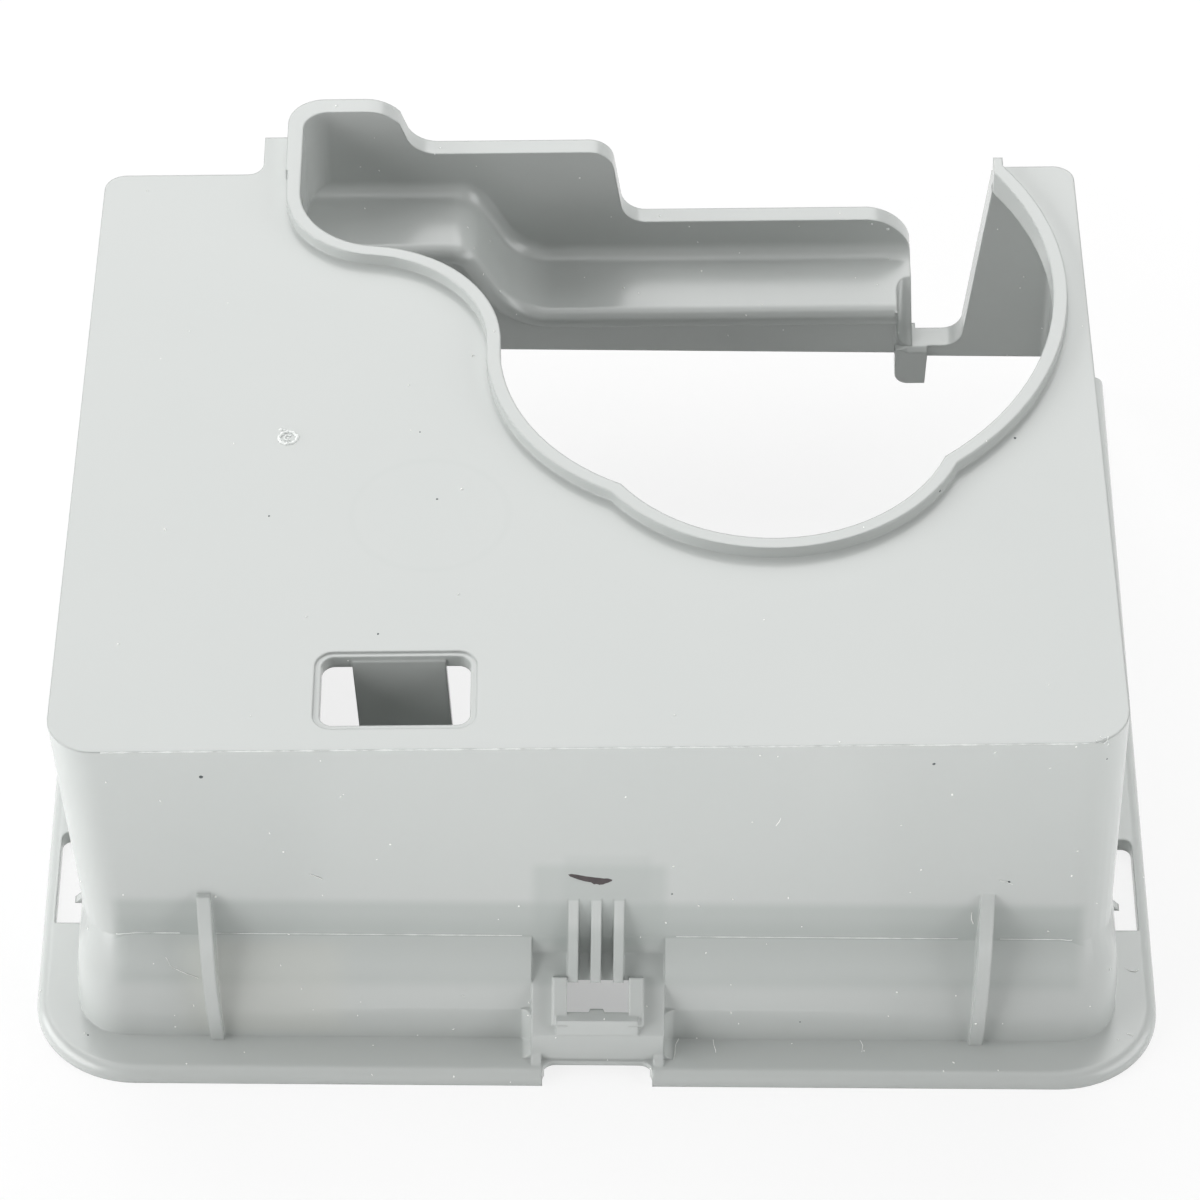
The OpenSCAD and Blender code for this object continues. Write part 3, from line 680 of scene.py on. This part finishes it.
# %% [markdown]
# The mark is a whole ring, an inner curl that is part of a ring, and three lumps: two where
# the stub tore off outside the ring, and one in the middle.
# %% Gate mark
GATE_R, GATE_TUBE, GATE_SEED = 1.35, 0.24, 3.1
CURL_R, CURL_TUBE, CURL_SEED, CURL_RISE, CURL_TURN = 0.55, 0.13, 7.7, 0.03, 4.6
STUB_SHIFT, STUB_GAP, STUB_RADII = (-7, -8), 0.5, (0.34, 0.22, 0.2)
STUB_WAVE, STUB_SWELL, STUB_FLAT = 0.25, 0.45, 0.45


def finish_piece(form, name, material, smooth=True):
    """Make a bmesh into an object that rides on the part."""
    bmesh.ops.recalc_face_normals(form, faces=form.faces)
    mesh = bpy.data.meshes.new(name)
    form.to_mesh(mesh)
    form.free()
    mesh.materials.append(material)
    for face in mesh.polygons:
        face.use_smooth = smooth
    piece = bpy.data.objects.new(name, mesh)
    bpy.context.collection.objects.link(piece)
    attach(piece, "root")
    return piece


def gate_mark():
    """Ring, inner curl and torn stub where the gate broke off."""
    form = bmesh.new()
    centre, normal = on_part(*GATE_PIXEL)
    ragged_ring(form, centre, normal, GATE_R, GATE_TUBE, GATE_SEED)
    ragged_ring(form, centre, normal, CURL_R, CURL_TUBE, CURL_SEED, CURL_RISE, CURL_TURN)
    burr = on_part(GATE_PIXEL[0] + STUB_SHIFT[0], GATE_PIXEL[1] + STUB_SHIFT[1])[0]
    places = (burr, burr + RIGHT * STUB_GAP * MM, centre)
    for k, (place, size) in enumerate(zip(places, STUB_RADII)):
        lump = bmesh.ops.create_icosphere(form, subdivisions=2, radius=size * MM,
                                          matrix=Matrix.Translation(place))
        for vert in lump["verts"]:
            swell = noise.noise((vert.co - place) / (STUB_WAVE * MM) + Vector((k, 0, 0)))
            vert.co = place + (vert.co - place) * (1 + STUB_SWELL * swell)
            vert.co -= normal * (vert.co - place).dot(normal) * STUB_FLAT
    return finish_piece(form, "gate_mark", pale_flash_and_highlight)


gate = gate_mark()
print("gate mark", len(gate.data.polygons), "faces")

# %% [markdown]
# ## Specks and flash bits
# Black points are burnt crumbs in the plastic. White bits are crumbs of flash left on the
# cut edges. Both are flattened noisy lumps, placed by pixel, with a radius in mm.
# %% Specks and bits
SPECKS = [(201, 777, 0.32), (1009, 882, 0.20), (934, 764, 0.24), (672, 894, 0.16), (940, 491, 0.2),
          (1015, 438, 0.22), (437, 499, 0.17), (378, 634, 0.16), (269, 516, 0.15), (420, 432, 0.13),
          (1107, 759, 0.14), (88, 1035, 0.15), (800, 1022, 0.14)]
BITS = [(888, 229, 0.28), (872, 224, 0.18), (336, 106, 0.2), (440, 148, 0.16), (660, 216, 0.16),
        (306, 617, 0.14), (1108, 744, 0.22)]
SPECK_FLAT, BIT_FLAT, LUMP_SWELL, LUMP_WAVES, SHIFT_SPAN = 0.3, 0.6, 0.5, 1.2, 50


def lumps(name, spots, flat, material, seed):
    """Flattened noisy lumps on the part: each spot is pixel u, v and radius in mm."""
    form = bmesh.new()
    chance = random.Random(seed)
    for u, v, radius in spots:
        place, normal = on_part(u, v)
        made = bmesh.ops.create_icosphere(form, subdivisions=2, radius=radius * MM,
                                          matrix=Matrix.Translation(place))
        shift = Vector([chance.uniform(0, SHIFT_SPAN) for _ in range(3)])
        for vert in made["verts"]:
            arm = vert.co - place
            arm *= 1 + LUMP_SWELL * noise.noise(arm / (radius * MM) * LUMP_WAVES + shift)
            vert.co = place + arm - normal * arm.dot(normal) * (1 - flat)
    return finish_piece(form, name, material)


lumps("dark_specks", SPECKS, SPECK_FLAT, speck, seed=11)
bits = lumps("flash_bits", BITS, BIT_FLAT, pale_flash_and_highlight, seed=12)
print("specks", len(SPECKS), "bits", len(BITS))

# %% [markdown]
# ## The pen stroke
# Someone drew one short stroke with a marker on the front wall. Ink has no thickness that
# one could feel, so it is a film that stands two hundredths of a millimetre proud and goes
# a little way into the wall. Its outline is traced in pixels and made ragged by noise.
# %% Pen stroke
STROKE_TOP = [(568.2, 874.6), (571, 874.0), (576, 874.6), (583, 875.8), (590, 876.8), (597, 877.8),
              (604, 878.4), (609, 878.6), (612.4, 879.8)]
STROKE_LOW = [(611.8, 881.0), (608, 882.6), (603, 884.4), (599.5, 884.8), (597, 884.0), (594, 884.2),
              (591, 882.4), (585, 881.4), (579, 879.8), (574, 878.0), (570, 876.4)]
SIDE_SHARES, RAGGED_PX, RAGGED_WAVES = (0.0, 0.34, 0.67), 0.35, 0.9
INK_PROUD, INK_DEPTH = 0.02, 0.05


def pen_stroke():
    """A thin film of ink on the front wall."""
    form = bmesh.new()
    outline = []
    corners = STROKE_TOP + STROKE_LOW
    for (u0, v0), (u1, v1) in zip(corners, corners[1:] + corners[:1]):
        for share in SIDE_SHARES:
            u, v = u0 + (u1 - u0) * share, v0 + (v1 - v0) * share
            ragged = RAGGED_PX * noise.noise(Vector((u, v, 0)) * RAGGED_WAVES)
            outline.append(form.verts.new(on_part(u, v + ragged, INK_PROUD)[0]))
    film = form.faces.new(outline)
    grown = bmesh.ops.extrude_face_region(form, geom=[film])
    for item in grown["geom"]:
        if isinstance(item, bmesh.types.BMVert):
            item.co += Vector((0, INK_DEPTH * MM, 0))
    return finish_piece(form, "pen_stroke", ink, smooth=False)


stroke = pen_stroke()
print("pen stroke", [round(c / MM, 2) for c in stroke.dimensions], "mm")

# %% [markdown]
# ## The table and the light
# The floor is a plain white sheet. It takes light and shadow like paper, and the camera
# also sees a glow on it, which makes the clean white of a product photo. Under the socket
# the glow is left out, because the photo shows the table grey through that small hole.
# %% Floor
FLOOR_GLOW, SOCKET_GLOW, UNDER_SOCKET, GREY_R, WHITE_R = 0.80, 0.25, (0.0, -59.0, 0.0), 6, 9.5
FLOOR_HALF, FLOOR_DROP = 2.2, 0.02


def picture_rays(tree):
    """A mask that is 1 for what the camera sees, directly, mirrored or through glass."""
    path = add_node(tree, "ShaderNodeLightPath")
    seen = path.outputs["Is Camera Ray"]
    for kind in ("Is Glossy Ray", "Is Transmission Ray"):
        either = add_node(tree, "ShaderNodeMath", {0: seen, 1: path.outputs[kind]},
                          operation="MAXIMUM")
        seen = either.outputs[0]
    return seen


def white_floor():
    """A large white sheet just under the part."""
    mesh = bpy.data.meshes.new("floor")
    corners = [(x * FLOOR_HALF, y * FLOOR_HALF, -FLOOR_DROP * MM)
               for x, y in ((-1, -1), (1, -1), (1, 1), (-1, 1))]
    mesh.from_pydata(corners, [], [(0, 1, 2, 3)])
    floor = bpy.data.objects.new("floor", mesh)
    bpy.context.collection.objects.link(floor)
    material, tree, shader, coords = new_material("white paper")
    shader.inputs["Base Color"].default_value = linear("#f7f7f7")
    shader.inputs["Roughness"].default_value = 0.6
    shader.inputs["Specular IOR Level"].default_value = 0.2
    away = add_node(tree, "ShaderNodeVectorMath", {0: coords, 1: [c * MM for c in UNDER_SOCKET]},
                    operation="DISTANCE")
    level = add_node(tree, "ShaderNodeMapRange",
                     {"Value": away.outputs["Value"], "From Min": GREY_R * MM,
                      "From Max": WHITE_R * MM, "To Min": SOCKET_GLOW, "To Max": FLOOR_GLOW})
    share = add_node(tree, "ShaderNodeMath", {0: picture_rays(tree), 1: level.outputs[0]},
                     operation="MULTIPLY")
    glow = add_node(tree, "ShaderNodeEmission", {"Color": (1, 1, 1, 1), "Strength": 1.0})
    mix = add_node(tree, "ShaderNodeMixShader",
                   {0: share.outputs[0], 1: shader.outputs[0], 2: glow.outputs[0]})
    tree.links.new(mix.outputs[0], tree.nodes["Material Output"].inputs["Surface"])
    mesh.materials.append(material)
    return floor


floor = white_floor()
print("floor at", round(floor.data.vertices[0].co.z / MM, 2), "mm")

# %% [markdown]
# A large soft box stands behind the part, high up, and gives the plate its sheen. One above
# lights the rims, and one at each side models the corners, the left one stronger. A wide
# panel on the table in front lifts the front wall, and a small card close to the boss lifts
# the frame of the socket. The world is almost dark for light, and plain white to the camera
# and in reflections.
# %% World and lamps
AIM, WORLD_LEVEL = (0, 0, 0.03), 0.06
PANEL, CARD = (0, -0.52, 0.0003), (0, -0.125, 0.0003)
LAMPS = (("back box", (-0.1, 1.0, 0.95), AIM, (1.4, 1.2), 13.2),
         ("top box", (0, 0.1, 1.3), AIM, (1.2, 1.0), 3.8),
         ("left box", (-1.2, -0.3, 0.45), AIM, (1.8, 0.9), 21.0),
         ("right box", (1.2, -0.3, 0.45), AIM, (1.4, 0.9), 11.0),
         ("table panel", PANEL, (*PANEL[:2], 1), (1.2, 0.6), 3.9),
         ("small card", CARD, (*CARD[:2], 1), (0.09, 0.085), 0.008))


def soft_box(name, place, target, size, power):
    """A rectangular area lamp at a place, turned towards a target. In metres and watts."""
    lamp = bpy.data.lights.new(name, "AREA")
    lamp.shape = "RECTANGLE"
    lamp.size, lamp.size_y = size
    lamp.energy = power
    item = bpy.data.objects.new(name, lamp)
    bpy.context.collection.objects.link(item)
    item.location = place
    item.rotation_euler = (Vector(target) - Vector(place)).to_track_quat("-Z", "Y").to_euler()
    item.visible_camera = False


def white_world(level):
    """Faint grey light for the scene, white for the camera and in reflections."""
    world = bpy.data.worlds.new("white studio")
    bpy.context.scene.world = world
    world.use_nodes = True
    tree = world.node_tree
    strength = add_node(tree, "ShaderNodeMix",
                        {"Factor": picture_rays(tree), "A": level, "B": 1.0})
    background = tree.nodes["Background"]
    background.inputs["Color"].default_value = (1, 1, 1, 1)
    tree.links.new(strength.outputs[0], background.inputs["Strength"])


white_world(WORLD_LEVEL)
for lamp in LAMPS:
    soft_box(*lamp)
